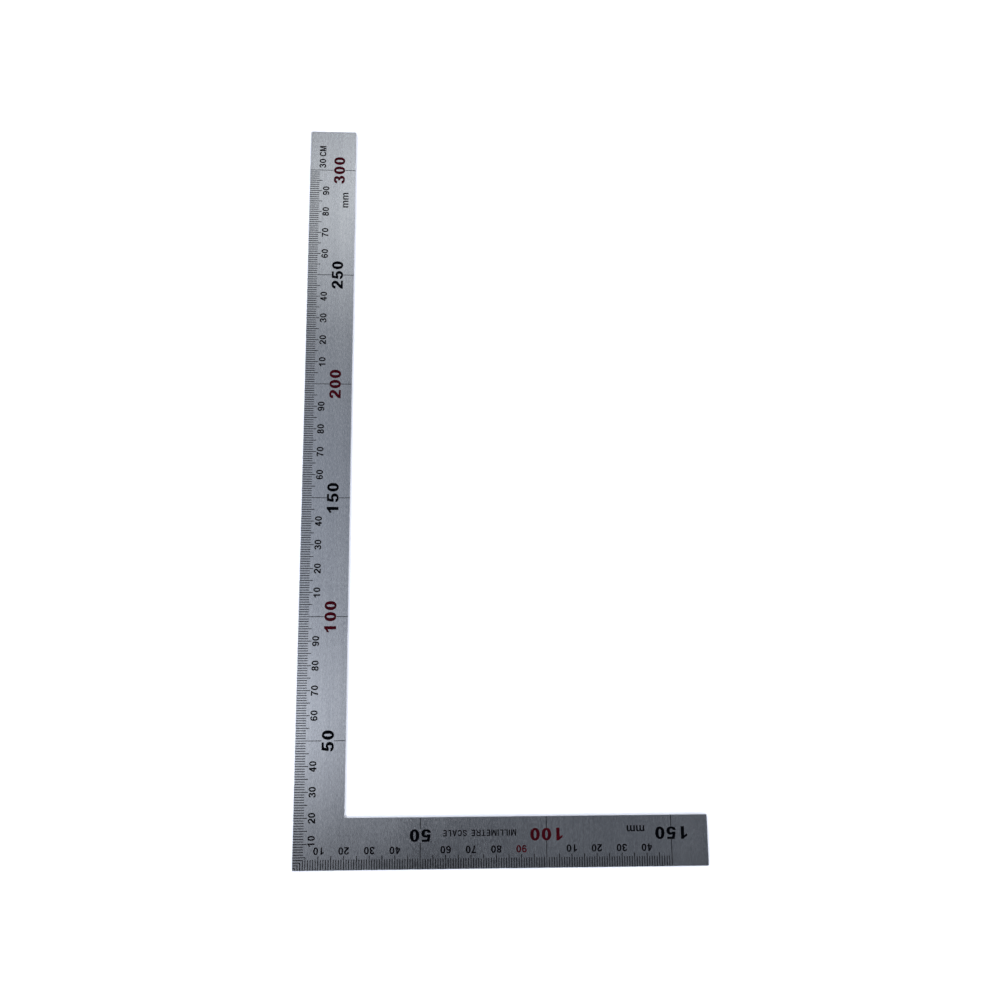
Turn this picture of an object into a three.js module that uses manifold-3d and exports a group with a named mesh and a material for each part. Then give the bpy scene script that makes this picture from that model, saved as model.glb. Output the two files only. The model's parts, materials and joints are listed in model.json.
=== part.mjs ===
// Steel square ruler: a flat L-shaped square stamped from one blank of brushed
// stainless sheet. A millimetre scale runs along the outer edge of each leg.
// The graduations and numerals are etched into the top face, and each etched
// recess holds a fill of black or dark red enamel that sits just below the steel.
//
// Frame, in millimetres: the origin is the outer corner of the square on its
// bottom face, where both scales read zero. The short leg runs along +X, the
// long leg along +Y, and the graduated face looks up along +Z.

import * as THREE from 'three';
import { mergeVertices } from 'three/addons/utils/BufferGeometryUtils.js';
import Module from 'manifold-3d';

const wasm = await Module();
wasm.setup();

// Blank.
const LONG_LEG = 318.8; // outer corner to the end of the long leg
const SHORT_LEG = 164.7; // outer corner to the end of the short leg
const LEG_WIDTH = 20;
const THICKNESS = 1.2;
const CORNER_RADIUS = 0.4; // the five outer corners
const CORNER_SEGMENTS = 3;

// Etching, and the enamel in it.
const ETCH_DEPTH = 0.05;
const FILL_CLEARANCE = 0.01; // between a fill and its recess, all round
const OVERSHOOT = 0.2; // how far a cutter stands out of the steel

// Graduations. Their lengths are measured across the leg from its outer edge.
const FINE_STEP = 1;
const FINE_LENGTH = 4.1;
const COARSE_STEP = 5;
const COARSE_LENGTH = 5.45;
const DIVISION_STEP = 50; // these lines cross the whole leg
const DIVISION_WIDTH = 0.25;
const GRADUATION_WIDTH = 0.3;

// Numerals at the divisions. Their tops face the outer edge.
const NUMERAL_HEIGHT = 4.85;
const NUMERAL_WIDTH = 3.75;
const NUMERAL_PITCH = 4.55;
const NUMERAL_BASE = 15.35; // from the outer edge to the foot of the numerals
const NUMERAL_STEM = 1.34; // upright strokes
const NUMERAL_BAR = 0.86; // level strokes
const CURVE_SEGMENTS = 4;
const LINE_TO_NUMERAL_GAP = 0.1;

// Each leg: its scale's length, and the turn that carries a numeral from
// reading along +X, feet down, to reading along that leg, feet inward.
const LEGS = [
  { name: 'long', scaleLength: 300, turn: Math.PI / 2, place: (along) => [0, along] },
  { name: 'short', scaleLength: 150, turn: Math.PI, place: (along) => [along, 0] },
];

const steel = new THREE.MeshStandardMaterial({ color: 0x8d939a, roughness: 0.38, metalness: 1 });
const blackEnamel = new THREE.MeshStandardMaterial({ color: 0x0b0c0f, roughness: 0.5, metalness: 0 });
const redEnamel = new THREE.MeshStandardMaterial({ color: 0x7a0b1c, roughness: 0.5, metalness: 0 });

// ---------- numerals ----------
// Each function draws one numeral with its foot at y = 0 and its left side at
// x = 0. w and h are its width and height, s its stem and b its bar.

function oval(path, x, y, halfWidth, halfHeight) {
  const fullness = 0.6; // squarer than an ellipse, which is 0.552
  const dx = halfWidth * fullness;
  const dy = halfHeight * fullness;
  path.moveTo(x + halfWidth, y);
  path.bezierCurveTo(x + halfWidth, y + dy, x + dx, y + halfHeight, x, y + halfHeight);
  path.bezierCurveTo(x - dx, y + halfHeight, x - halfWidth, y + dy, x - halfWidth, y);
  path.bezierCurveTo(x - halfWidth, y - dy, x - dx, y - halfHeight, x, y - halfHeight);
  path.bezierCurveTo(x + dx, y - halfHeight, x + halfWidth, y - dy, x + halfWidth, y);
}

function drawZero(w, h, s, b) {
  const shape = new THREE.Shape();
  oval(shape, w / 2, h / 2, w / 2, h / 2);
  const counter = new THREE.Path();
  oval(counter, w / 2, h / 2, w / 2 - s, h / 2 - b);
  shape.holes.push(counter);
  return shape;
}

function drawOne(w, h, s) {
  const right = 0.67 * w;
  const left = right - s;
  const shape = new THREE.Shape();
  shape.moveTo(left, 0);
  shape.lineTo(right, 0);
  shape.lineTo(right, h);
  shape.lineTo(left + 0.25 * s, h);
  shape.quadraticCurveTo(left - 0.1 * w, 0.82 * h, 0, 0.78 * h);
  shape.lineTo(0, 0.61 * h);
  shape.quadraticCurveTo(left - 0.1 * w, 0.64 * h, left, 0.72 * h);
  shape.closePath();
  return shape;
}

function drawTwo(w, h, s, b) {
  const shape = new THREE.Shape();
  shape.moveTo(0, 0);
  shape.lineTo(w, 0);
  shape.lineTo(w, b);
  shape.lineTo(0.44 * w, b);
  shape.bezierCurveTo(0.62 * w, 0.32 * h, w, 0.43 * h, w, 0.7 * h);
  shape.bezierCurveTo(w, 0.88 * h, 0.8 * w, h, 0.5 * w, h);
  shape.bezierCurveTo(0.18 * w, h, 0.01 * w, 0.86 * h, 0.01 * w, 0.66 * h);
  shape.lineTo(0.01 * w + s, 0.66 * h);
  shape.bezierCurveTo(0.01 * w + s, 0.79 * h, 0.36 * w, h - b, 0.5 * w, h - b);
  shape.bezierCurveTo(0.6 * w, h - b, w - s, 0.81 * h, w - s, 0.7 * h);
  shape.bezierCurveTo(w - s, 0.5 * h, 0, 0.4 * h, 0, 0);
  return shape;
}

function drawThree(w, h, s, b) {
  const waist = 0.52 * h;
  const shape = new THREE.Shape();
  shape.moveTo(0, 0.3 * h);
  shape.bezierCurveTo(0, 0.11 * h, 0.2 * w, 0, 0.5 * w, 0);
  shape.bezierCurveTo(0.8 * w, 0, w, 0.11 * h, w, 0.28 * h);
  shape.bezierCurveTo(w, 0.4 * h, 0.93 * w, 0.48 * h, 0.8 * w, waist);
  shape.bezierCurveTo(0.9 * w, 0.57 * h, 0.96 * w, 0.64 * h, 0.96 * w, 0.73 * h);
  shape.bezierCurveTo(0.96 * w, 0.9 * h, 0.78 * w, h, 0.5 * w, h);
  shape.bezierCurveTo(0.2 * w, h, 0.03 * w, 0.89 * h, 0.03 * w, 0.71 * h);
  shape.lineTo(0.03 * w + s, 0.71 * h);
  shape.bezierCurveTo(0.03 * w + s, 0.8 * h, 0.38 * w, h - b, 0.5 * w, h - b);
  shape.bezierCurveTo(0.64 * w, h - b, 0.96 * w - s, 0.82 * h, 0.96 * w - s, 0.74 * h);
  shape.bezierCurveTo(0.96 * w - s, 0.64 * h, 0.58 * w, waist + b / 2, 0.4 * w, waist + b / 2);
  shape.lineTo(0.4 * w, waist - b / 2);
  shape.bezierCurveTo(0.62 * w, waist - b / 2, w - s, 0.4 * h, w - s, 0.28 * h);
  shape.bezierCurveTo(w - s, 0.18 * h, 0.64 * w, b, 0.5 * w, b);
  shape.bezierCurveTo(0.36 * w, b, s, 0.19 * h, s, 0.3 * h);
  shape.closePath();
  return shape;
}

function drawFive(w, h, s, b) {
  const bowlTop = 0.66 * h;
  const shape = new THREE.Shape();
  shape.moveTo(0.94 * w, h);
  shape.lineTo(0.14 * w, h);
  shape.lineTo(0.02 * w, 0.43 * h);
  shape.lineTo(0.02 * w + s, 0.41 * h);
  shape.bezierCurveTo(0.1 * w + s, 0.48 * h, 0.46 * w, bowlTop - b, 0.52 * w, bowlTop - b);
  shape.bezierCurveTo(0.62 * w, bowlTop - b, w - s, 0.45 * h, w - s, 0.33 * h);
  shape.bezierCurveTo(w - s, 0.21 * h, 0.64 * w, b, 0.5 * w, b);
  shape.bezierCurveTo(0.36 * w, b, s, 0.18 * h, s, 0.28 * h);
  shape.lineTo(0, 0.28 * h);
  shape.bezierCurveTo(0, 0.11 * h, 0.2 * w, 0, 0.5 * w, 0);
  shape.bezierCurveTo(0.8 * w, 0, w, 0.14 * h, w, 0.335 * h);
  shape.bezierCurveTo(w, 0.54 * h, 0.82 * w, bowlTop, 0.56 * w, bowlTop);
  shape.bezierCurveTo(0.46 * w, bowlTop, 0.42 * w, 0.64 * h, 0.1 * w + 0.72 * s, 0.61 * h);
  shape.lineTo(0.13 * w + 0.8 * s, h - b);
  shape.lineTo(0.94 * w, h - b);
  shape.closePath();
  return shape;
}

const DRAW_NUMERAL = { 0: drawZero, 1: drawOne, 2: drawTwo, 3: drawThree, 5: drawFive };

// ---------- outlines and solids ----------

// Moves a closed outline outwards by a distance, seen from its material: an
// anticlockwise outline grows, and a clockwise one, which bounds a hole, shrinks.
function offsetOutline(points, distance) {
  const count = points.length;
  return points.map((point, index) => {
    const before = points[(index + count - 1) % count];
    const after = points[(index + 1) % count];
    const into = point.clone().sub(before).normalize();
    const out = after.clone().sub(point).normalize();
    const mitre = distance / (1 + into.dot(out));
    return new THREE.Vector2(point.x + (into.y + out.y) * mitre, point.y - (into.x + out.x) * mitre);
  });
}

function withoutRepeats(points) {
  return points.filter((point, index) => {
    const before = points[(index + points.length - 1) % points.length];
    return point.distanceTo(before) > 1e-4;
  });
}

// A copy of a shape as straight-sided outlines, grown by a distance.
function grownShape(shape, distance) {
  const { shape: outer, holes } = shape.extractPoints(CURVE_SEGMENTS);
  const oriented = (points, clockwise) => {
    const clean = withoutRepeats(points);
    return THREE.ShapeUtils.isClockWise(clean) === clockwise ? clean : clean.reverse();
  };
  const grown = new THREE.Shape(offsetOutline(oriented(outer, false), distance));
  for (const hole of holes) {
    grown.holes.push(new THREE.Path(offsetOutline(oriented(hole, true), distance)));
  }
  return grown;
}

function rectangle(centreX, centreY, width, height) {
  const [x, y] = [width / 2, height / 2];
  return new THREE.Shape([
    new THREE.Vector2(centreX - x, centreY - y),
    new THREE.Vector2(centreX + x, centreY - y),
    new THREE.Vector2(centreX + x, centreY + y),
    new THREE.Vector2(centreX - x, centreY + y),
  ]);
}

function prism(shape, bottom, top) {
  const geometry = new THREE.ExtrudeGeometry(shape, {
    depth: top - bottom,
    bevelEnabled: false,
    curveSegments: CORNER_SEGMENTS,
  });
  return geometry.translate(0, 0, bottom);
}

function toSolid(geometry) {
  const bare = geometry.clone();
  bare.deleteAttribute('normal');
  bare.deleteAttribute('uv');
  const merged = mergeVertices(bare, 1e-5);
  return new wasm.Manifold(new wasm.Mesh({
    numProp: 3,
    vertProperties: new Float32Array(merged.attributes.position.array),
    triVerts: new Uint32Array(merged.index.array),
  }));
}

function toGeometry(solid) {
  const mesh = solid.getMesh();
  const geometry = new THREE.BufferGeometry();
  geometry.setAttribute('position', new THREE.BufferAttribute(mesh.vertProperties, mesh.numProp));
  geometry.setIndex(new THREE.BufferAttribute(mesh.triVerts, 1));
  geometry.computeVertexNormals();
  return geometry;
}

// ---------- marks ----------
// A mark is drawn in its graduation's own frame: the origin on the leg's outer
// edge at the top face, x along the scale as the numerals read, y off the leg.

// The two halves of a division line, on either side of its numerals.
function divisionLines() {
  const numeralTop = NUMERAL_BASE - NUMERAL_HEIGHT;
  const spans = {
    outer_line: [0, numeralTop - LINE_TO_NUMERAL_GAP],
    inner_line: [NUMERAL_BASE + LINE_TO_NUMERAL_GAP, LEG_WIDTH],
  };
  return Object.entries(spans).map(([name, [from, to]]) => ({
    name,
    shape: rectangle(0, -(from + to) / 2, DIVISION_WIDTH, to - from - 2 * FILL_CLEARANCE),
    enamel: blackEnamel,
  }));
}

// The digits of one number, each in a cell of the same width.
function numerals(value) {
  const digits = String(value);
  const enamel = value % 100 === 0 ? redEnamel : blackEnamel;
  return [...digits].map((digit, index) => {
    const centre = (index - (digits.length - 1) / 2) * NUMERAL_PITCH;
    const draw = DRAW_NUMERAL[digit];
    const shape = draw(NUMERAL_WIDTH, NUMERAL_HEIGHT, NUMERAL_STEM, NUMERAL_BAR);
    const outline = grownShape(shape, 0);
    const shift = new THREE.Vector2(centre - NUMERAL_WIDTH / 2, -NUMERAL_BASE);
    const moved = (points) => points.map((point) => point.clone().add(shift));
    const placed = new THREE.Shape(moved(outline.getPoints()));
    placed.holes = outline.holes.map((hole) => new THREE.Path(moved(hole.getPoints())));
    return { name: `digit_${index + 1}`, shape: placed, enamel };
  });
}

function graduationFrame(leg, along) {
  const frame = new THREE.Group();
  const [x, y] = leg.place(along);
  frame.position.set(x, y, THICKNESS);
  frame.rotation.z = leg.turn;
  frame.updateMatrix();
  return frame;
}

function fillMesh(name, mark) {
  const geometry = prism(mark.shape, FILL_CLEARANCE - ETCH_DEPTH, -FILL_CLEARANCE);
  const mesh = new THREE.Mesh(geometry, mark.enamel);
  mesh.name = name;
  return mesh;
}

function cutterFor(shape, frame) {
  const geometry = prism(grownShape(shape, FILL_CLEARANCE), -ETCH_DEPTH, OVERSHOOT);
  return toSolid(geometry.applyMatrix4(frame.matrix));
}

// How far a plain graduation reaches across the leg. Next to the square's corner
// it stops on the diagonal, where it meets its twin on the other leg.
function graduationReach(along) {
  const length = along % COARSE_STEP === 0 ? COARSE_LENGTH : FINE_LENGTH;
  return along <= COARSE_STEP ? along + GRADUATION_WIDTH / 2 : length;
}

// A plain graduation between the divisions: a groove that runs out through the
// leg's outer edge.
function graduationGroove(frame, reach) {
  const shape = rectangle(0, (OVERSHOOT - reach) / 2, GRADUATION_WIDTH, reach + OVERSHOOT);
  return toSolid(prism(shape, -ETCH_DEPTH, OVERSHOOT).applyMatrix4(frame.matrix));
}

// ---------- blank ----------

function blankOutline() {
  const r = CORNER_RADIUS;
  const quarter = Math.PI / 2;
  const shape = new THREE.Shape();
  shape.moveTo(r, 0);
  shape.absarc(SHORT_LEG - r, r, r, -quarter, 0);
  shape.absarc(SHORT_LEG - r, LEG_WIDTH - r, r, 0, quarter);
  shape.lineTo(LEG_WIDTH, LEG_WIDTH);
  shape.absarc(LEG_WIDTH - r, LONG_LEG - r, r, 0, quarter);
  shape.absarc(r, LONG_LEG - r, r, quarter, 2 * quarter);
  shape.absarc(r, r, r, 2 * quarter, 3 * quarter);
  return shape;
}

// ---------- assembly ----------

const ruler = new THREE.Group();
let square = toSolid(prism(blankOutline(), 0, THICKNESS));

for (const leg of LEGS) {
  for (let along = FINE_STEP; along <= leg.scaleLength; along += FINE_STEP) {
    const frame = graduationFrame(leg, along);
    if (along % DIVISION_STEP !== 0) {
      square = square.subtract(graduationGroove(frame, graduationReach(along)));
      continue;
    }
    for (const mark of [...divisionLines(), ...numerals(along)]) {
      square = square.subtract(cutterFor(mark.shape, frame));
      frame.add(fillMesh(`${leg.name}_${along}_${mark.name}`, mark));
    }
    ruler.add(frame);
  }
}

const squareMesh = new THREE.Mesh(toGeometry(square), steel);
squareMesh.name = 'steel_square';
ruler.add(squareMesh);

export default ruler;
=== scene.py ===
"""Steel square ruler: an L-shaped square of brushed stainless sheet, lying face up.

The graduations, numerals and small words are etched into the top face. Each etched recess holds its own
fill of black or dark red enamel, which lies a little below the steel. Lengths are in millimetres until a
mesh is made. The sheet, the division lines and the large numerals get their sizes and places from the CAD.
"""

import json
import math

import bmesh
import bpy
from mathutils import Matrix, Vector
from mathutils.geometry import tessellate_polygon


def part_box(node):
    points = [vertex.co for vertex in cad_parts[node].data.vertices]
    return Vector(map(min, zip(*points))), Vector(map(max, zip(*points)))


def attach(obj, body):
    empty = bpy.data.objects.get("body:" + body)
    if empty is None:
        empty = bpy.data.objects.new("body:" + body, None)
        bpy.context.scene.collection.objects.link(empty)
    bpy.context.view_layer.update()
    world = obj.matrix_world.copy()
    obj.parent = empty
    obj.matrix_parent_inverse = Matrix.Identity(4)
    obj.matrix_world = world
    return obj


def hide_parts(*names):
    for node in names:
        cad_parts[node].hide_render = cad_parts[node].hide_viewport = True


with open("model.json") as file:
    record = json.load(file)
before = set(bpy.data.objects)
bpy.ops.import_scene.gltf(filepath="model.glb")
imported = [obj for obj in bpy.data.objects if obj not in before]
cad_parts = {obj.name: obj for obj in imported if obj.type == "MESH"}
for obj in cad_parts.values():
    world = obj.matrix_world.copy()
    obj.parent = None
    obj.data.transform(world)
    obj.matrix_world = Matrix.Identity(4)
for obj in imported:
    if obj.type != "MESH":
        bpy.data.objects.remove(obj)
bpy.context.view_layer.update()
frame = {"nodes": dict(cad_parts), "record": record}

# ---------- sizes, in millimetres ----------

METRE = 1000.0


def box_mm(node):
    """A CAD node's lowest and highest corners."""
    low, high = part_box(node)
    return METRE * low, METRE * high


MOUNT_PLACES = {mount["name"]: mount["pos_m"] for mount in frame["record"]["mounts"]}
SHORT_LEG, LONG_LEG, THICKNESS = box_mm("steel_square")[1]
LEG_WIDTH = METRE * MOUNT_PLACES["long_inner_edge"][0]
CORNER_RADIUS = 0.4
CORNER_STEPS = 8
EDGE_RADIUS = 0.12  # the broken edge all round both faces
EDGE_STEPS = 4

# Etching, and the enamel in it.
ETCH_DEPTH = 0.05
CLEARANCE = 0.01  # between a fill and its recess, all round
FILL_SINK = 0.008  # from the steel down to the rim of a fill
DISH_DEPTH = 0.01  # from a fill's rim down to its middle
DISH_WIDTH = 0.04
EDGE_GAP = 0.1  # from the leg's edge to the end of a fill
OVERSHOOT = 0.3  # how far a cutter stands out of the steel

# Graduations. Their lengths are measured across the leg from its outer edge.
TICK_WIDTH = 0.3
FINE_LENGTH = 4.1
COARSE_STEP = 5
COARSE_LENGTH = 5.45
LAST_BENT = 5  # the graduations up to this one are bent lines that both legs share
NUMBER_STEP = 10
HUNDRED = 100  # its multiples have red numerals, and the small numbers count on from each of them
RED_NUMBER = 90  # the one small number in red, on the short leg

# The large numerals at the divisions.
ZERO_LOW, ZERO_HIGH = box_mm("long_100_digit_3")
LARGE_PITCH = ZERO_LOW.y - box_mm("long_100_digit_2")[0].y
LARGE_FOOT = ZERO_HIGH.x  # from the outer edge to the foot of the numerals


class Leg:
    """One leg of the square, and the places of its divisions along it.

    It takes loops from a mark's own frame, which has its origin on the leg's outer edge, x along that edge
    as the numerals read and y pointing off the leg."""

    def __init__(self, name, axis, turn):
        self.name = name
        self.axis = axis
        self.cos = round(math.cos(turn))
        self.sin = round(math.sin(turn))
        self.divisions = {}
        for node in frame["nodes"]:
            owner, value, *rest = node.split("_")
            if owner == name and rest == ["inner", "line"]:
                low, high = box_mm(node)
                self.divisions[int(value)] = (low + high)[axis] / 2

    def place(self, along, loops):
        shift = Vector((0, 0))
        shift[self.axis] = along
        return [[shift + self.turned(point) for point in loop] for loop in loops]

    def turned(self, point):
        return Vector((self.cos * point.x - self.sin * point.y, self.sin * point.x + self.cos * point.y))


LONG = Leg("long", 1, math.pi / 2)
SHORT = Leg("short", 0, math.pi)

# ---------- outlines ----------
# A shape is a list of closed loops of points: the outside first, anticlockwise, then any holes, clockwise.

CURVE_STEPS = 10
ROUND = 0.6  # how full a round stroke is; 0.552 is an ellipse
SAME_POINT = 1e-4  # points closer than this are one


class Pen:
    """Draws one closed loop."""

    def __init__(self, x, y):
        self.points = [Vector((x, y))]

    def line(self, *coordinates):
        self.points += [Vector(pair) for pair in zip(coordinates[::2], coordinates[1::2])]
        return self

    def curve(self, x1, y1, x2, y2, x3, y3):
        start, pull_1, pull_2, end = self.points[-1], Vector((x1, y1)), Vector((x2, y2)), Vector((x3, y3))
        for step in range(1, CURVE_STEPS + 1):
            t = step / CURVE_STEPS
            u = 1 - t
            self.points.append(u**3 * start + 3 * u * u * t * pull_1 + 3 * u * t * t * pull_2 + t**3 * end)
        return self


def area(loop):
    """Positive for an anticlockwise loop."""
    return sum(a.x * b.y - b.x * a.y for a, b in zip(loop, loop[1:] + loop[:1])) / 2


def clean(loop, clockwise):
    """The loop without repeated points, turned the way asked for."""
    kept = [point for index, point in enumerate(loop) if (point - loop[index - 1]).length > SAME_POINT]
    return kept if (area(kept) < 0) == clockwise else kept[::-1]


def glyph(outside, *holes):
    return [clean(outside.points, False)] + [clean(hole.points, True) for hole in holes]


def offset(loop, distance):
    """The loop moved away from its material by a distance, or into it by a negative one."""
    moved = []
    for index, point in enumerate(loop):
        into = (point - loop[index - 1]).normalized()
        out = (loop[(index + 1) % len(loop)] - point).normalized()
        mitre = distance / (1 + into.dot(out))
        moved.append(Vector((point.x + (into.y + out.y) * mitre, point.y - (into.x + out.x) * mitre)))
    return moved


def oval(x, y, half_width, half_height):
    """A full round loop about its middle."""
    dx, dy = half_width * ROUND, half_height * ROUND
    pen = Pen(x + half_width, y)
    pen.curve(x + half_width, y + dy, x + dx, y + half_height, x, y + half_height)
    pen.curve(x - dx, y + half_height, x - half_width, y + dy, x - half_width, y)
    pen.curve(x - half_width, y - dy, x - dx, y - half_height, x, y - half_height)
    pen.curve(x + dx, y - half_height, x + half_width, y - dy, x + half_width, y)
    return pen


def rectangle(x1, y1, x2, y2):
    return [[Vector(pair) for pair in ((x1, y1), (x2, y1), (x2, y2), (x1, y2))]]


# ---------- numerals ----------
# Each function draws one sign with its foot at y = 0 and its left side at x = 0: w and h are its width and
# height, s its upright stroke and b its level stroke.


def draw_0(w, h, s, b):
    return glyph(oval(w / 2, h / 2, w / 2, h / 2), oval(w / 2, h / 2, w / 2 - s, h / 2 - b))


def draw_1(w, h, s, b):
    right = 0.67 * w
    left = right - s
    pen = Pen(left, 0).line(right, 0, right, h, left + 0.25 * s, h)
    pen.curve(left, 0.9 * h, left - 0.16 * w, 0.8 * h, 0, 0.78 * h)
    pen.line(0, 0.78 * h - 1.1 * b)
    pen.curve(left - 0.16 * w, 0.79 * h - 1.1 * b, left - 0.06 * w, 0.68 * h, left, 0.72 * h)
    return glyph(pen)


def draw_2(w, h, s, b):
    pen = Pen(0, 0).line(w, 0, w, b, 0.44 * w, b)
    pen.curve(0.62 * w, 0.32 * h, w, 0.43 * h, w, 0.7 * h)
    pen.curve(w, 0.88 * h, 0.8 * w, h, 0.5 * w, h)
    pen.curve(0.18 * w, h, 0.01 * w, 0.86 * h, 0.01 * w, 0.66 * h)
    pen.line(0.01 * w + s, 0.66 * h)
    pen.curve(0.01 * w + s, 0.79 * h, 0.36 * w, h - b, 0.5 * w, h - b)
    pen.curve(0.6 * w, h - b, w - s, 0.81 * h, w - s, 0.7 * h)
    pen.curve(w - s, 0.5 * h, 0, 0.4 * h, 0, 0)
    return glyph(pen)


def draw_3(w, h, s, b):
    waist = 0.52 * h
    pen = Pen(0, 0.3 * h)
    pen.curve(0, 0.11 * h, 0.2 * w, 0, 0.5 * w, 0)
    pen.curve(0.8 * w, 0, w, 0.11 * h, w, 0.28 * h)
    pen.curve(w, 0.4 * h, 0.93 * w, 0.48 * h, 0.8 * w, waist)
    pen.curve(0.9 * w, 0.57 * h, 0.96 * w, 0.64 * h, 0.96 * w, 0.73 * h)
    pen.curve(0.96 * w, 0.9 * h, 0.78 * w, h, 0.5 * w, h)
    pen.curve(0.2 * w, h, 0.03 * w, 0.89 * h, 0.03 * w, 0.71 * h)
    pen.line(0.03 * w + s, 0.71 * h)
    pen.curve(0.03 * w + s, 0.8 * h, 0.38 * w, h - b, 0.5 * w, h - b)
    pen.curve(0.64 * w, h - b, 0.96 * w - s, 0.82 * h, 0.96 * w - s, 0.74 * h)
    pen.curve(0.96 * w - s, 0.64 * h, 0.58 * w, waist + b / 2, 0.4 * w, waist + b / 2)
    pen.line(0.4 * w, waist - b / 2)
    pen.curve(0.62 * w, waist - b / 2, w - s, 0.4 * h, w - s, 0.28 * h)
    pen.curve(w - s, 0.18 * h, 0.64 * w, b, 0.5 * w, b)
    pen.curve(0.36 * w, b, s, 0.19 * h, s, 0.3 * h)
    return glyph(pen)


def draw_4(w, h, s, b):
    stem = 0.8 * w
    bar = 0.22 * h
    pen = Pen(stem - s, 0).line(stem, 0, stem, bar, w, bar, w, bar + b, stem, bar + b, stem, h)
    pen.line(stem - 1.15 * s, h, 0, bar + 1.25 * b, 0, bar, stem - s, bar)
    hole = Pen(stem - s, bar + b).line(stem - s, h - 1.6 * s, 0.9 * s, bar + b)
    return glyph(pen, hole)


def draw_5(w, h, s, b):
    bowl = 0.66 * h
    pen = Pen(0.94 * w, h).line(0.14 * w, h, 0.02 * w, 0.43 * h, 0.02 * w + s, 0.41 * h)
    pen.curve(0.1 * w + s, 0.48 * h, 0.46 * w, bowl - b, 0.52 * w, bowl - b)
    pen.curve(0.62 * w, bowl - b, w - s, 0.45 * h, w - s, 0.33 * h)
    pen.curve(w - s, 0.21 * h, 0.64 * w, b, 0.5 * w, b)
    pen.curve(0.36 * w, b, s, 0.18 * h, s, 0.28 * h)
    pen.line(0, 0.28 * h)
    pen.curve(0, 0.11 * h, 0.2 * w, 0, 0.5 * w, 0)
    pen.curve(0.8 * w, 0, w, 0.14 * h, w, 0.335 * h)
    pen.curve(w, 0.54 * h, 0.82 * w, bowl, 0.56 * w, bowl)
    pen.curve(0.46 * w, bowl, 0.42 * w, 0.64 * h, 0.1 * w + 0.72 * s, 0.61 * h)
    pen.line(0.13 * w + 0.8 * s, h - b, 0.94 * w, h - b)
    return glyph(pen)


def draw_6(w, h, s, b):
    bowl = 0.64 * h
    pen = Pen(0.96 * w, 0.75 * h)
    pen.curve(0.94 * w, 0.91 * h, 0.77 * w, h, 0.53 * w, h)
    pen.curve(0.17 * w, h, 0, 0.8 * h, 0, 0.48 * h)
    pen.curve(0, 0.17 * h, 0.17 * w, 0, 0.51 * w, 0)
    pen.curve(0.8 * w, 0, w, 0.13 * h, w, 0.32 * h)
    pen.curve(w, 0.52 * h, 0.81 * w, bowl, 0.56 * w, bowl)
    pen.curve(0.43 * w, bowl, 0.36 * w, 0.6 * h, s + 0.02 * w, 0.54 * h)
    pen.curve(s + 0.02 * w, 0.76 * h, 0.36 * w, h - b, 0.52 * w, h - b)
    pen.curve(0.64 * w, h - b, 0.95 * w - s, 0.85 * h, 0.96 * w - s, 0.75 * h)
    return glyph(pen, oval(0.5 * w + 0.02 * s, bowl / 2, w / 2 - s, bowl / 2 - b))


def draw_7(w, h, s, b):
    pen = Pen(0, h).line(0, h - b, w - 1.2 * s, h - b)
    pen.curve(0.42 * w, 0.62 * h, 0.22 * w, 0.3 * h, 0.18 * w, 0)
    pen.line(0.18 * w + 1.1 * s, 0)
    pen.curve(0.24 * w + 1.1 * s, 0.36 * h, 0.66 * w, 0.66 * h, w, h - 0.9 * b)
    pen.line(w, h)
    return glyph(pen)


def draw_8(w, h, s, b):
    waist = 0.53 * h
    pen = Pen(0.5 * w, 0)
    pen.curve(0.8 * w, 0, w, 0.1 * h, w, 0.27 * h)
    pen.curve(w, 0.4 * h, 0.92 * w, 0.48 * h, 0.8 * w, waist)
    pen.curve(0.9 * w, 0.58 * h, 0.95 * w, 0.65 * h, 0.95 * w, 0.74 * h)
    pen.curve(0.95 * w, 0.9 * h, 0.78 * w, h, 0.5 * w, h)
    pen.curve(0.22 * w, h, 0.05 * w, 0.9 * h, 0.05 * w, 0.74 * h)
    pen.curve(0.05 * w, 0.65 * h, 0.1 * w, 0.58 * h, 0.2 * w, waist)
    pen.curve(0.08 * w, 0.48 * h, 0, 0.4 * h, 0, 0.27 * h)
    pen.curve(0, 0.1 * h, 0.2 * w, 0, 0.5 * w, 0)
    low_top, high_top = waist - b / 2, h - b
    low = oval(w / 2, (b + low_top) / 2, w / 2 - s, (low_top - b) / 2)
    high = oval(w / 2, (low_top + b + high_top) / 2, 0.45 * w - s, (high_top - low_top - b) / 2)
    return glyph(pen, low, high)


def draw_9(w, h, s, b):
    turned = draw_6(w, h, s, b)
    return [[Vector((w - point.x, h - point.y)) for point in loop] for loop in turned]


# ---------- letters ----------


def draw_m(w, h, s, b):
    half = (w - s) / 2  # from one stem to the next
    pen = Pen(0, 0).line(s, 0, s, 0.55 * h)
    for left in (s, half + s):
        inner = left + half - s
        pen.curve(left, 0.8 * h, left + 0.15 * half, h - b, (left + inner) / 2, h - b)
        pen.curve(inner - 0.1 * half, h - b, inner, 0.85 * h, inner, 0.6 * h)
        pen.line(inner, 0, inner + s, 0)
        if left == s:
            pen.line(inner + s, 0.55 * h)
    pen.line(w, 0.62 * h)
    pen.curve(w, 0.9 * h, w - 0.2 * half, h, w - 0.5 * half, h)
    pen.curve(w - 0.75 * half, h, w - 0.9 * half, 0.95 * h, half + 0.6 * s, 0.86 * h)
    pen.curve(half + 0.2 * s, h, 0.9 * half, h, s + 0.35 * half, h)
    pen.curve(s + 0.2 * half, h, s + 0.05 * half, 0.95 * h, s, 0.85 * h)
    pen.line(s, 0.98 * h, 0, 0.98 * h)
    return glyph(pen)


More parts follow.
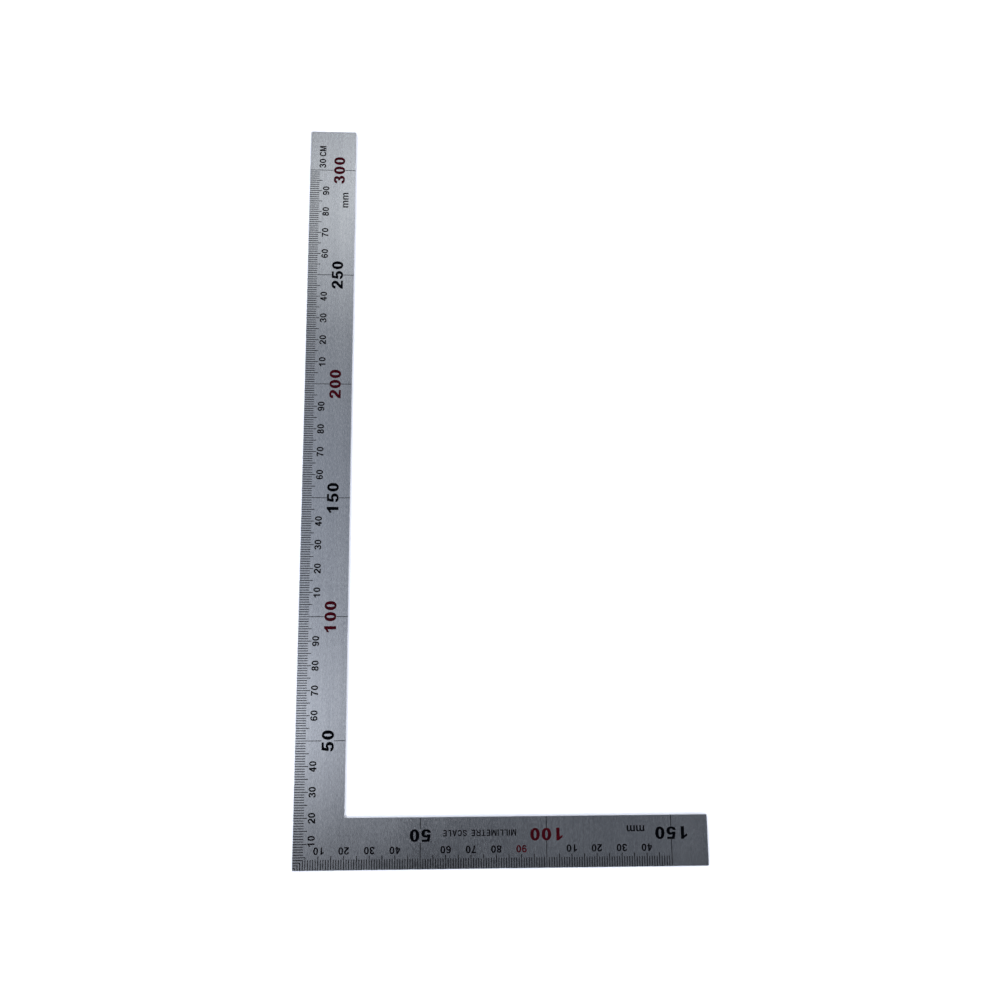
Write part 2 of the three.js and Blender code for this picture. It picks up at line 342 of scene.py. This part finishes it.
def draw_A(w, h, s, b):
    middle, bar = w / 2, 0.22 * h
    slope = (middle - s / 2) / h  # how far a side leans in for each millimetre up
    foot = 1.1 * s
    pen = Pen(0, 0).line(foot, 0, foot + slope * bar, bar, w - foot - slope * bar, bar, w - foot, 0)
    pen.line(w, 0, middle + s / 2, h, middle - s / 2, h)
    low = bar + b
    hole = Pen(foot + slope * low, low).line(w - foot - slope * low, low, middle, h - 1.3 * s)
    return glyph(pen, hole)


def draw_C(w, h, s, b):
    pen = Pen(w, 0.7 * h)
    pen.curve(0.97 * w, 0.9 * h, 0.8 * w, h, 0.53 * w, h)
    pen.curve(0.18 * w, h, 0, 0.8 * h, 0, 0.5 * h)
    pen.curve(0, 0.2 * h, 0.18 * w, 0, 0.53 * w, 0)
    pen.curve(0.8 * w, 0, 0.97 * w, 0.1 * h, w, 0.3 * h)
    pen.line(w - s, 0.3 * h)
    pen.curve(w - s, 0.2 * h, 0.7 * w, b, 0.53 * w, b)
    pen.curve(0.3 * w, b, s, 0.28 * h, s, 0.5 * h)
    pen.curve(s, 0.72 * h, 0.3 * w, h - b, 0.53 * w, h - b)
    pen.curve(0.7 * w, h - b, w - s, 0.8 * h, w - s, 0.7 * h)
    return glyph(pen)


def draw_E(w, h, s, b):
    middle = 0.52 * h
    pen = Pen(0, 0).line(w, 0, w, b, s, b, s, middle - b / 2, 0.9 * w, middle - b / 2)
    pen.line(0.9 * w, middle + b / 2, s, middle + b / 2, s, h - b, w, h - b, w, h, 0, h)
    return glyph(pen)


def draw_I(w, h, s, b):
    return rectangle(0, 0, w, h)


def draw_L(w, h, s, b):
    return glyph(Pen(0, 0).line(w, 0, w, b, s, b, s, h, 0, h))


def draw_M(w, h, s, b):
    middle = w / 2
    pen = Pen(0, 0).line(s, 0, s, 0.72 * h, middle - 0.4 * s, 0, middle + 0.4 * s, 0, w - s, 0.72 * h)
    pen.line(w - s, 0, w, 0, w, h, w - 1.2 * s, h, middle, 0.32 * h, 1.2 * s, h, 0, h)
    return glyph(pen)


def draw_R(w, h, s, b):
    waist = 0.46 * h
    pen = Pen(0, 0).line(s, 0, s, waist - b / 2, 0.5 * w, waist - b / 2, w - 1.15 * s, 0, w, 0)
    pen.line(0.7 * w, waist - 0.3 * b)
    pen.curve(0.85 * w, waist, 0.95 * w, 0.62 * h, 0.95 * w, 0.73 * h)
    pen.curve(0.95 * w, 0.9 * h, 0.85 * w, h, 0.62 * w, h)
    pen.line(0, h)
    hole = Pen(s, waist + b / 2).line(0.6 * w, waist + b / 2)
    hole.curve(0.8 * w, waist + b / 2, 0.95 * w - s, 0.6 * h, 0.95 * w - s, 0.73 * h)
    hole.curve(0.95 * w - s, 0.82 * h, 0.8 * w, h - b, 0.6 * w, h - b).line(s, h - b)
    return glyph(pen, hole)


def draw_S(w, h, s, b):
    pen = Pen(0, 0.3 * h)
    pen.curve(0, 0.11 * h, 0.2 * w, 0, 0.5 * w, 0)
    pen.curve(0.8 * w, 0, w, 0.1 * h, w, 0.28 * h)
    pen.curve(w, 0.45 * h, 0.86 * w, 0.5 * h, 0.6 * w, 0.55 * h)
    pen.curve(0.3 * w, 0.61 * h, s, 0.64 * h, s, 0.74 * h)
    pen.curve(s, 0.82 * h, 0.36 * w, h - b, 0.5 * w, h - b)
    pen.curve(0.64 * w, h - b, 0.95 * w - s, 0.82 * h, 0.95 * w - s, 0.71 * h)
    pen.line(0.95 * w, 0.71 * h)
    pen.curve(0.95 * w, 0.9 * h, 0.78 * w, h, 0.5 * w, h)
    pen.curve(0.2 * w, h, 0, 0.9 * h, 0, 0.73 * h)
    pen.curve(0, 0.54 * h, 0.16 * w, 0.5 * h, 0.42 * w, 0.45 * h)
    pen.curve(0.7 * w, 0.39 * h, w - s, 0.36 * h, w - s, 0.27 * h)
    pen.curve(w - s, 0.18 * h, 0.64 * w, b, 0.5 * w, b)
    pen.curve(0.36 * w, b, s, 0.18 * h, s, 0.3 * h)
    return glyph(pen)


def draw_T(w, h, s, b):
    left, right = (w - s) / 2, (w + s) / 2
    return glyph(Pen(left, 0).line(right, 0, right, h - b, w, h - b, w, h, 0, h, 0, h - b, left, h - b))


DRAW = {
    "0": draw_0,
    "1": draw_1,
    "2": draw_2,
    "3": draw_3,
    "4": draw_4,
    "5": draw_5,
    "6": draw_6,
    "7": draw_7,
    "8": draw_8,
    "9": draw_9,
    "m": draw_m,
    "A": draw_A,
    "C": draw_C,
    "E": draw_E,
    "I": draw_I,
    "L": draw_L,
    "M": draw_M,
    "R": draw_R,
    "S": draw_S,
    "T": draw_T,
}


class Face:
    """A style of lettering: the size of its signs and strokes, and the gap between signs."""

    def __init__(self, height, width, stem, bar, gap, widths=()):
        self.height = height
        self.width = width
        self.stem = stem
        self.bar = bar
        self.gap = gap
        self.widths = dict(widths)

    def width_of(self, sign):
        return self.widths.get(sign, self.width)

    def signs(self, text, foot):
        """The shape of each sign of a text, which has its middle at x = 0 and its feet at y = -foot."""
        length = sum(self.width_of(sign) + self.gap for sign in text) - self.gap
        x = -length / 2
        placed = []
        for sign in text:
            width = self.width_of(sign)
            if sign in DRAW:
                loops = DRAW[sign](width, self.height, self.stem, self.bar)
                placed.append([[point + Vector((x, -foot)) for point in loop] for loop in loops])
            x += width + self.gap
        return placed


LARGE_HEIGHT = ZERO_HIGH.x - ZERO_LOW.x
LARGE_WIDTH = ZERO_HIGH.y - ZERO_LOW.y
LARGE = Face(LARGE_HEIGHT, LARGE_WIDTH, stem=1.34, bar=0.86, gap=LARGE_PITCH - LARGE_WIDTH)
SMALL = Face(2.85, 1.9, stem=0.58, bar=0.49, gap=0.34)
UNIT = Face(2.4, 3.3, stem=0.6, bar=0.5, gap=0.5)
WORD_WIDTHS = {"M": 2.1, "I": 0.42, "L": 1.35, "A": 1.8, "E": 1.4, "R": 1.8, " ": 1.0}
WORDS = Face(2.4, 1.5, stem=0.42, bar=0.36, gap=0.44, widths=WORD_WIDTHS)
NOTE = Face(2.9, 2.0, stem=0.58, bar=0.5, gap=0.36, widths={"M": 2.5, "C": 2.1, " ": 0.6})

# Where the smaller signs stand: how far along the leg, and how far from its outer edge to their feet.
SMALL_FOOT = {"long": 8.6, "short": 8.85}
FIRST_NUMBER_SHIFT = {"long": 1.2, "short": 0.2}  # the two tens by the corner stand clear of each other
UNIT_ALONG = {"long": 285.6, "short": 135.7}
UNIT_FOOT = {"long": 17.1, "short": 16.0}
WORDS_ALONG = 73.5
WORDS_FOOT = 14.9
NOTE_ALONG = 306.4
NOTE_FOOT = 6.9

# ---------- meshes ----------

SHARP_ANGLE = 40  # between faces, in degrees
ALONG_AXIS = 0.9999  # a face whose normal has this much along one axis is flat


def stack(builder, layers):
    """Adds one closed body to a bmesh, from its layers from the bottom up, each a shape and its height."""
    rings = []
    for loops, height in layers:
        points = [Vector((point.x, point.y, height)) / METRE for loop in loops for point in loop]
        rings.append([builder.verts.new(point) for point in points])
    for ring, (loops, height) in ((rings[0], layers[0]), (rings[-1], layers[-1])):
        for triangle in tessellate_polygon([[point.to_3d() for point in loop] for loop in loops]):
            builder.faces.new([ring[index] for index in triangle])
    for lower, upper in zip(rings, rings[1:]):
        start = 0
        for loop in layers[0][0]:
            for index in range(len(loop)):
                a, b = start + index, start + (index + 1) % len(loop)
                builder.faces.new((lower[a], lower[b], upper[b], upper[a]))
            start += len(loop)


def new_object(name, bodies):
    """A mesh object of closed bodies, each a list of layers."""
    builder = bmesh.new()
    for layers in bodies:
        stack(builder, layers)
    bmesh.ops.recalc_face_normals(builder, faces=builder.faces)
    mesh = bpy.data.meshes.new(name)
    builder.to_mesh(mesh)
    builder.free()
    made = bpy.data.objects.new(name, mesh)
    bpy.context.scene.collection.objects.link(made)
    return made


def shade(mesh):
    """Flat faces stay flat; the faces of rounds and curves are smoothed into each other."""
    mesh.set_sharp_from_angle(angle=math.radians(SHARP_ANGLE))
    for polygon in mesh.polygons:
        polygon.use_smooth = max(abs(value) for value in polygon.normal) < ALONG_AXIS


# ---------- marks ----------


class Mark:
    """One etched recess and the enamel in it, both as shapes in the ruler's frame."""

    def __init__(self, leg, along, fill, recess=None):
        self.fill = leg.place(along, fill)
        self.recess = leg.place(along, recess or [offset(loop, CLEARANCE) for loop in fill])

    def fill_layers(self):
        rim = THICKNESS - FILL_SINK
        dish = [offset(loop, -DISH_WIDTH) for loop in self.fill]
        floor = THICKNESS - ETCH_DEPTH + CLEARANCE
        return [(self.fill, floor), (self.fill, rim), (dish, rim - DISH_DEPTH)]

    def cutter_layers(self):
        return [(self.recess, THICKNESS - ETCH_DEPTH), (self.recess, THICKNESS + OVERSHOOT)]


def line_mark(leg, along, width, start, end):
    """A line across the leg, between two distances. Its recess runs out through an edge that it reaches."""
    half = width / 2
    fill = rectangle(-half, -min(end, LEG_WIDTH - EDGE_GAP), half, -max(start, EDGE_GAP))
    cut_start = start - CLEARANCE if start > 0 else -OVERSHOOT
    cut_end = end + CLEARANCE if end < LEG_WIDTH else LEG_WIDTH + OVERSHOOT
    recess = rectangle(-half - CLEARANCE, -cut_end, half + CLEARANCE, -cut_start)
    return Mark(leg, along, fill, recess)


def elbow(reach, half, start):
    """A line that comes in from one leg's outer edge and turns out through the other's."""
    near, far = reach - half, reach + half
    return glyph(Pen(start, near).line(near, near, near, start, far, start, far, far, start, far))


class CornerMark(Mark):
    """A graduation next to the square's corner, where both legs share one bent line."""

    def __init__(self, reach):
        self.fill = elbow(reach, TICK_WIDTH / 2, EDGE_GAP)
        self.recess = elbow(reach, TICK_WIDTH / 2 + CLEARANCE, -OVERSHOOT)


def sign_marks(leg, along, signs):
    return [Mark(leg, along, loops) for loops in signs]


def graduations(leg):
    """The straight graduations between the divisions."""
    marks = []
    for along in range(LAST_BENT + 1, max(leg.divisions)):
        if along not in leg.divisions:
            length = COARSE_LENGTH if along % COARSE_STEP == 0 else FINE_LENGTH
            marks.append(line_mark(leg, along, TICK_WIDTH, 0, length))
    return marks


def small_numbers(leg, wanted):
    """The numbers between the divisions, at the places wanted."""
    marks = []
    for along in range(NUMBER_STEP, max(leg.divisions), NUMBER_STEP):
        if along not in leg.divisions and wanted(along):
            shift = FIRST_NUMBER_SHIFT[leg.name] if along == NUMBER_STEP else 0.0
            signs = SMALL.signs(str(along % HUNDRED), SMALL_FOOT[leg.name])
            marks += sign_marks(leg, along + shift, signs)
    return marks


# ---------- materials ----------


class Tree:
    """Adds nodes to a node tree. An input is given as a value or as another node's output."""

    def __init__(self, tree):
        self.tree = tree
        tree.nodes.clear()

    def add(self, kind, inputs=(), **settings):
        node = self.tree.nodes.new(kind)
        for name, value in settings.items():
            setattr(node, name, value)
        for name, value in dict(inputs).items():
            if isinstance(value, bpy.types.NodeSocket):
                self.tree.links.new(value, node.inputs[name])
            else:
                node.inputs[name].default_value = value
        return node

    def maths(self, operation, a, b=0.0):
        return self.add("ShaderNodeMath", {0: a, 1: b}, operation=operation).outputs[0]

    def product(self, a, b):
        return self.maths("MULTIPLY", a, b)

    def total(self, *values):
        result = values[0]
        for value in values[1:]:
            result = self.maths("ADD", result, value)
        return result

    def remap(self, value, low, high, to_low, to_high):
        inputs = {"Value": value, "From Min": low, "From Max": high, "To Min": to_low, "To Max": to_high}
        return self.add("ShaderNodeMapRange", inputs).outputs[0]

    def ramp(self, value, *stops):
        """A colour for each value, from stops that are each a value and its colour."""
        node = self.add("ShaderNodeValToRGB", {"Fac": value})
        elements = node.color_ramp.elements
        while len(elements) < len(stops):
            elements.new(1.0)
        for element, (place, colour) in zip(elements, stops):
            element.position = place
            element.color = (*colour, 1.0)
        return node.outputs["Color"]

    def noise(self, grain, detail=2.0, roughness=0.5, shift=0.0):
        """Noise over the object, from 0 to 1, with its grain's size in millimetres along each axis."""
        place = self.add("ShaderNodeTexCoord").outputs["Object"]
        scale = [METRE / size for size in grain]
        moved = {"Vector": place, "Scale": scale, "Location": (shift, shift, shift)}
        vector = self.add("ShaderNodeMapping", moved).outputs[0]
        inputs = {"Vector": vector, "Scale": 1.0, "Detail": detail, "Roughness": roughness}
        return self.add("ShaderNodeTexNoise", inputs).outputs["Fac"]

    def bump(self, height, strength, depth):
        """Small relief from a height, with its depth in millimetres."""
        inputs = {"Height": height, "Strength": strength, "Distance": depth / METRE}
        return self.add("ShaderNodeBump", inputs).outputs[0]

    def show(self, kind, inputs):
        """Makes one shader the whole surface."""
        surface = self.add(kind, inputs)
        self.add("ShaderNodeOutputMaterial", {"Surface": surface.outputs[0]})


PRINCIPLED = "ShaderNodeBsdfPrincipled"


def new_material(name):
    material = bpy.data.materials.new(name)
    material.use_nodes = True
    return material, Tree(material.node_tree)


def brushed_steel():
    """Stainless sheet brushed along the long leg: fine streaks, soft clouds and a few stray scratches."""
    material, tree = new_material("brushed_steel")
    hair = tree.noise((0.22, 1.4, 1), detail=2, roughness=0.55)
    streak = tree.noise((0.6, 26, 1), detail=2, shift=3.1)
    band = tree.noise((4, 200, 1), detail=1, shift=7.7)
    cloud = tree.noise((28, 34, 1), detail=3, roughness=0.55, shift=12.3)
    scratch = tree.noise((0.9, 0.35, 1), detail=0, shift=20.9)
    tone = tree.total(
        tree.remap(hair, 0.3, 0.7, -0.5, 0.5),
        tree.remap(streak, 0.3, 0.7, -0.1, 0.1),
        tree.remap(band, 0.3, 0.7, -0.08, 0.08),
        tree.remap(cloud, 0.3, 0.7, -0.1, 0.1),
        0.5,
    )
    colour = tree.ramp(
        tone,
        (0.0, (0.4, 0.425, 0.455)),
        (0.5, (0.5, 0.525, 0.555)),
        (1.0, (0.6, 0.625, 0.65)),
    )
    roughness = tree.total(
        tree.remap(hair, 0.2, 0.8, -0.03, 0.03),
        tree.remap(cloud, 0.3, 0.7, -0.015, 0.02),
        tree.remap(scratch, 0.7, 0.8, 0.0, 0.05),
        0.18,
    )
    height = tree.total(hair, tree.product(streak, 1.5))
    across = tree.add("ShaderNodeCombineXYZ", {"X": 1.0}).outputs[0]
    inputs = {
        "Base Color": colour,
        "Metallic": 1.0,
        "Roughness": roughness,
        "Anisotropic": 0.6,
        "Tangent": across,
        "Normal": tree.bump(height, 0.12, 0.02),
    }
    tree.show(PRINCIPLED, inputs)
    return material


def ground_edge():
    """The cut and ground edges of the sheet: steel with fine marks through its thickness, coloured darker
    than the brushed faces, which is painted shade along the rim of the sheet.
    """
    material, tree = new_material("ground_edge")
    mark = tree.noise((0.3, 0.3, 4), detail=3)
    cloud = tree.noise((9, 9, 9), detail=2, shift=5.5)
    tone = tree.total(tree.remap(mark, 0.3, 0.7, -0.3, 0.3), tree.remap(cloud, 0.3, 0.7, -0.2, 0.2), 0.5)
    # painted shade: these edge colours are darker than the brushed steel, so the sheet's rim shows as a
    # dark line
    colour = tree.ramp(tone, (0.0, (0.2, 0.212, 0.23)), (1.0, (0.36, 0.375, 0.4)))
    roughness = tree.remap(tone, 0.0, 1.0, 0.34, 0.24)
    relief = tree.bump(mark, 0.2, 0.02)
    tree.show(PRINCIPLED, {"Base Color": colour, "Metallic": 1.0, "Roughness": roughness, "Normal": relief})
    return material


def etched_steel():
    """The bare floor and walls of a recess: dull, dark and finely pitted."""
    material, tree = new_material("etched_steel")
    pits = tree.noise((0.03, 0.03, 0.03), detail=3)
    colour = tree.ramp(pits, (0.3, (0.05, 0.052, 0.056)), (0.7, (0.14, 0.145, 0.15)))
    relief = tree.bump(pits, 0.5, 0.01)
    tree.show(PRINCIPLED, {"Base Color": colour, "Metallic": 0.9, "Roughness": 0.6, "Normal": relief})
    return material


def enamel(name, deep, worn):
    """Dull enamel wiped into an etched recess, uneven in tone between a deep and a worn colour."""
    material, tree = new_material(name)
    grain = tree.noise((0.12, 0.12, 0.12), detail=4, roughness=0.6)
    patch = tree.noise((1.6, 1.6, 1.6), detail=2, shift=4.2)
    tone = tree.total(tree.remap(grain, 0.3, 0.7, -0.25, 0.25), tree.remap(patch, 0.3, 0.7, -0.3, 0.3), 0.5)
    inputs = {
        "Base Color": tree.ramp(tone, (0.0, deep), (1.0, worn)),
        "Roughness": tree.remap(tone, 0.0, 1.0, 0.42, 0.6),
        "Specular IOR Level": 0.0,
        "Normal": tree.bump(grain, 0.3, 0.01),
    }
    tree.show(PRINCIPLED, inputs)
    return material


BLANK_MATERIALS = [brushed_steel(), ground_edge(), etched_steel()]
# the ground edge material is darker steel: painted shade along the sheet's sides and rounds
BRUSHED, GROUND_PAINTED_SHADE, ETCHED = range(len(BLANK_MATERIALS))
ENAMELS = {
    "black_enamel": enamel("black_enamel", (0.0003, 0.0004, 0.0007), (0.0014, 0.0017, 0.0026)),
    "red_enamel": enamel("red_enamel", (0.011, 0.0008, 0.0018), (0.047, 0.0022, 0.005)),
}

# ---------- pieces ----------

all_marks = []  # every mark made, for the recesses in the steel


def fill_piece(name, marks, colour, *nodes):
    """The enamel of some marks as one piece, which replaces the CAD nodes named."""
    piece = new_object(name, [mark.fill_layers() for mark in marks])
    shade(piece.data)
    piece.data.materials.append(ENAMELS[colour])
    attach(piece, "root")
    if nodes:
        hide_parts(*nodes)
    all_marks.extend(marks)


def division_pieces(leg, value, along):
    """A division's number, and the two halves of the line that it interrupts."""
    prefix = f"{leg.name}_{value}"
    for side in ("outer_line", "inner_line"):
        low, high = box_mm(f"{prefix}_{side}")
        across = 1 - leg.axis
        width = high[leg.axis] - low[leg.axis]
        start = 0 if side == "outer_line" else low[across]
        end = LEG_WIDTH if side == "inner_line" else high[across]
        mark = line_mark(leg, along, width, start, end)
        fill_piece(f"{prefix}_{side}_fill", [mark], "black_enamel", f"{prefix}_{side}")
    colour = "red_enamel" if value % HUNDRED == 0 else "black_enamel"
    marks = sign_marks(leg, along, LARGE.signs(str(value), LARGE_FOOT))
    for index, mark in enumerate(marks, 1):
        node = f"{prefix}_digit_{index}"
        fill_piece(f"{node}_fill", [mark], colour, node)


def corner_arc(x, y, start):
    """A quarter round about (x, y), from a start angle in degrees."""
    points = []
    for step in range(CORNER_STEPS + 1):
        angle = math.radians(start + 90 * step / CORNER_STEPS)
        points.append(Vector((x + CORNER_RADIUS * math.cos(angle), y + CORNER_RADIUS * math.sin(angle))))
    return points


def blank_outline():
    r = CORNER_RADIUS
    outline = corner_arc(r, r, 180)
    outline += corner_arc(SHORT_LEG - r, r, 270)
    outline += corner_arc(SHORT_LEG - r, LEG_WIDTH - r, 0)
    outline.append(Vector((LEG_WIDTH, LEG_WIDTH)))
    outline += corner_arc(LEG_WIDTH - r, LONG_LEG - r, 0)
    outline += corner_arc(r, LONG_LEG - r, 90)
    return outline


def blank_layers():
    """The sheet from its bottom face up, with a small round along both edges."""
    outline = blank_outline()
    layers = []
    for step in range(EDGE_STEPS + 1):
        angle = math.radians(90 * step / EDGE_STEPS)
        inset = EDGE_RADIUS * (1 - math.sin(angle))
        layers.append(([offset(outline, -inset)], EDGE_RADIUS * (1 - math.cos(angle))))
    return layers + [(loops, THICKNESS - height) for loops, height in reversed(layers)]


def etch(blank, marks):
    """Sinks the marks' recesses into the blank."""
    cutter = new_object("cutter", [mark.cutter_layers() for mark in marks])
    modifier = blank.modifiers.new("etch", "BOOLEAN")
    modifier.object = cutter
    modifier.operation = "DIFFERENCE"
    modifier.solver = "MANIFOLD"
    graph = bpy.context.evaluated_depsgraph_get()
    etched = bpy.data.meshes.new_from_object(blank.evaluated_get(graph))
    blank.modifiers.clear()
    blank.data = etched
    bpy.data.objects.remove(cutter)


TOLERANCE = 0.001  # on the height of a face and on its normal


def finish_of(polygon):
    """Which of the blank's materials a face shows. The two broad faces are brushed, the recesses etched,
    and the sides and rounds get the darker ground edge, whose darkness is painted shade.
    """
    level = abs(polygon.normal.z) > 1 - TOLERANCE
    upright = abs(polygon.normal.z) < TOLERANCE
    height = METRE * polygon.center.z
    if level and not TOLERANCE < height < THICKNESS - TOLERANCE:
        return BRUSHED
    in_recess = (level or upright) and height > THICKNESS - ETCH_DEPTH - TOLERANCE
    return ETCHED if in_recess else GROUND_PAINTED_SHADE


def steel_blank():
    """The whole sheet with every recess cut into it, which is the square's one rigid piece."""
    blank = new_object("square_blank", [blank_layers()])
    etch(blank, all_marks)
    shade(blank.data)
    blank.data.materials.clear()
    for material in BLANK_MATERIALS:
        blank.data.materials.append(material)
    for polygon in blank.data.polygons:
        polygon.material_index = finish_of(polygon)
    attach(blank, "root")
    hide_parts("steel_square")


def graduation_pieces():
    for leg in (LONG, SHORT):
        for value, along in sorted(leg.divisions.items()):
            division_pieces(leg, value, along)
        fill_piece(f"{leg.name}_graduation_fills", graduations(leg), "black_enamel")
    corner = [CornerMark(reach) for reach in range(1, LAST_BENT + 1)]
    fill_piece("corner_graduation_fills", corner, "black_enamel")


def small_number_pieces():
    fill_piece("long_small_numbers", small_numbers(LONG, lambda along: True), "black_enamel")
    black = small_numbers(SHORT, lambda along: along != RED_NUMBER)
    fill_piece("short_small_numbers", black, "black_enamel")
    red = small_numbers(SHORT, lambda along: along == RED_NUMBER)
    fill_piece("short_red_number", red, "red_enamel")


def word_pieces():
    """The unit marks, and generic words where the real square names its material."""
    for leg in (LONG, SHORT):
        unit = UNIT.signs("mm", UNIT_FOOT[leg.name])
        fill_piece(f"{leg.name}_unit_mark", sign_marks(leg, UNIT_ALONG[leg.name], unit), "black_enamel")
    words = WORDS.signs("MILLIMETRE SCALE", WORDS_FOOT)
    fill_piece("scale_words", sign_marks(SHORT, WORDS_ALONG, words), "black_enamel")
    note = NOTE.signs("30 CM", NOTE_FOOT)
    fill_piece("length_mark", sign_marks(LONG, NOTE_ALONG, note), "black_enamel")


graduation_pieces()
small_number_pieces()
word_pieces()
steel_blank()

# ---------- studio ----------

# The ring of light, by its angle from overhead in degrees.
RING_STARTS = 38
RING_FULL = (43, 47)
RING_ENDS = 52
RING_STRENGTH = 8.2
RING_LEAN = (-1.9, -2.3)  # how much stronger it is towards +X and +Y; below zero, weaker
HORIZON = (56, 66)  # where the dull light of the horizon starts and where it is full
HORIZON_STRENGTH = 0.5

# Soft lamps. Each has its tilt from overhead towards +X and +Y, its spread in the same two directions, both
# in degrees, and its strength. The long leg reflects three of them along its length, the short leg one.
LONG_LEG_MIDDLE = ((-10, 12.5), (7.5, 10), 0.9)
SHORT_LEG_END = ((9.5, -1), (7.5, 3), 0.25)
LONG_LEG_LOW = ((-11, 3.45), (6.5, 3.85), 1.83)
LONG_LEG_END = ((-0.5, 26.9), (6, 4.2), 1.78)

BLUISH = (0.955, 1.0, 1.12)
COOL = (0.99, 1.0, 1.07)
WHITE = (1.0, 1.0, 1.0)

FLOOR_TONE = 0.94
FLOOR_REACH = 4.0  # metres
FLOOR_DROP = 0.00002  # metres below the square, so that the two don't share a plane

# The photograph's view, found by fitting a camera to the divisions.
LENS = 46.52
SENSOR_WIDTH = 36.0
CAMERA_PLACE = (0.05019, 0.02185, 0.52914)
CAMERA_TURN = (13.587, -3.405, -0.586)


class Sky:
    """Strengths of light over the sky, by direction."""

    def __init__(self, tree):
        self.tree = tree
        direction = tree.add("ShaderNodeTexCoord").outputs["Generated"]
        self.axes = tree.add("ShaderNodeSeparateXYZ", {0: direction}).outputs
        self.tilts = [tree.maths("ARCTAN2", self.axes[name], self.axes["Z"]) for name in "XY"]
        self.from_zenith = tree.maths("ARCCOSINE", self.axes["Z"])

    def fade(self, start, end, low, high):
        """A change from one strength to another between two angles from overhead, in degrees."""
        return self.tree.remap(self.from_zenith, math.radians(start), math.radians(end), low, high)

    def ring(self):
        """Light from all round at one height, stronger on one side."""
        tree = self.tree
        pulls = [tree.product(self.axes[name], lean) for name, lean in zip("XY", RING_LEAN)]
        lean = tree.maths("DIVIDE", tree.total(*pulls), tree.maths("SINE", self.from_zenith))
        inner = self.fade(RING_STARTS, RING_FULL[0], 0.0, 1.0)
        outer = self.fade(RING_FULL[1], RING_ENDS, 1.0, 0.0)
        return tree.product(tree.maths("ADD", RING_STRENGTH, lean), tree.product(inner, outer))

    def lamp(self, place, spread, strength):
        """A soft oval patch of light, given as one of the lamps above."""
        tree = self.tree
        squares = []
        for tilt, middle, width in zip(self.tilts, place, spread):
            turn = tree.maths("SUBTRACT", tilt, math.radians(middle))
            away = tree.maths("DIVIDE", turn, math.radians(width))
            squares.append(tree.product(away, away))
        fall = tree.maths("EXPONENT", tree.product(tree.total(*squares), -1.0))
        return tree.product(fall, strength)


def background(tree, colour, strength):
    return tree.add("ShaderNodeBackground", {"Color": (*colour, 1.0), "Strength": strength}).outputs[0]


def studio_light():
    """A ring of soft light, strongest at the front left, which whitens the floor, a dull horizon, and soft
    lamps high above the ruler, which the steel reflects. The camera sees plain white behind it all."""
    world = bpy.data.worlds.new("studio")
    world.use_nodes = True
    bpy.context.scene.world = world
    tree = Tree(world.node_tree)
    sky = Sky(tree)
    horizon = sky.fade(*HORIZON, 0.0, HORIZON_STRENGTH)
    bluish = tree.total(sky.ring(), horizon, sky.lamp(*LONG_LEG_MIDDLE), sky.lamp(*SHORT_LEG_END))
    light = background(tree, BLUISH, bluish)
    for colour, lamp in ((COOL, LONG_LEG_LOW), (WHITE, LONG_LEG_END)):
        other = background(tree, colour, sky.lamp(*lamp))
        light = tree.add("ShaderNodeAddShader", {0: light, 1: other}).outputs[0]
    seen = tree.add("ShaderNodeLightPath").outputs["Is Camera Ray"]
    mixed = tree.add("ShaderNodeMixShader", {0: seen, 1: light, 2: background(tree, WHITE, 1.0)})
    tree.add("ShaderNodeOutputWorld", {"Surface": mixed.outputs[0]})


def studio_floor():
    material, tree = new_material("floor")
    tree.show("ShaderNodeBsdfDiffuse", {"Color": (FLOOR_TONE, FLOOR_TONE, FLOOR_TONE, 1.0)})
    mesh = bpy.data.meshes.new("floor")
    corners = [(FLOOR_REACH * x, FLOOR_REACH * y, 0) for x, y in ((-1, -1), (1, -1), (1, 1), (-1, 1))]
    mesh.from_pydata(corners, [], [(0, 1, 2, 3)])
    mesh.materials.append(material)
    floor = bpy.data.objects.new("floor", mesh)
    floor.location.z = -FLOOR_DROP
    bpy.context.scene.collection.objects.link(floor)


def studio_camera():
    data = bpy.data.cameras.new("camera")
    data.sensor_width = SENSOR_WIDTH
    data.lens = LENS
    data.clip_start = 0.01
    data.clip_end = 20.0
    camera = bpy.data.objects.new("camera", data)
    camera.location = CAMERA_PLACE
    camera.rotation_euler = [math.radians(angle) for angle in CAMERA_TURN]
    bpy.context.scene.collection.objects.link(camera)
    bpy.context.scene.camera = camera


studio_light()
studio_floor()
studio_camera()
bpy.context.scene.view_settings.view_transform = "Standard"
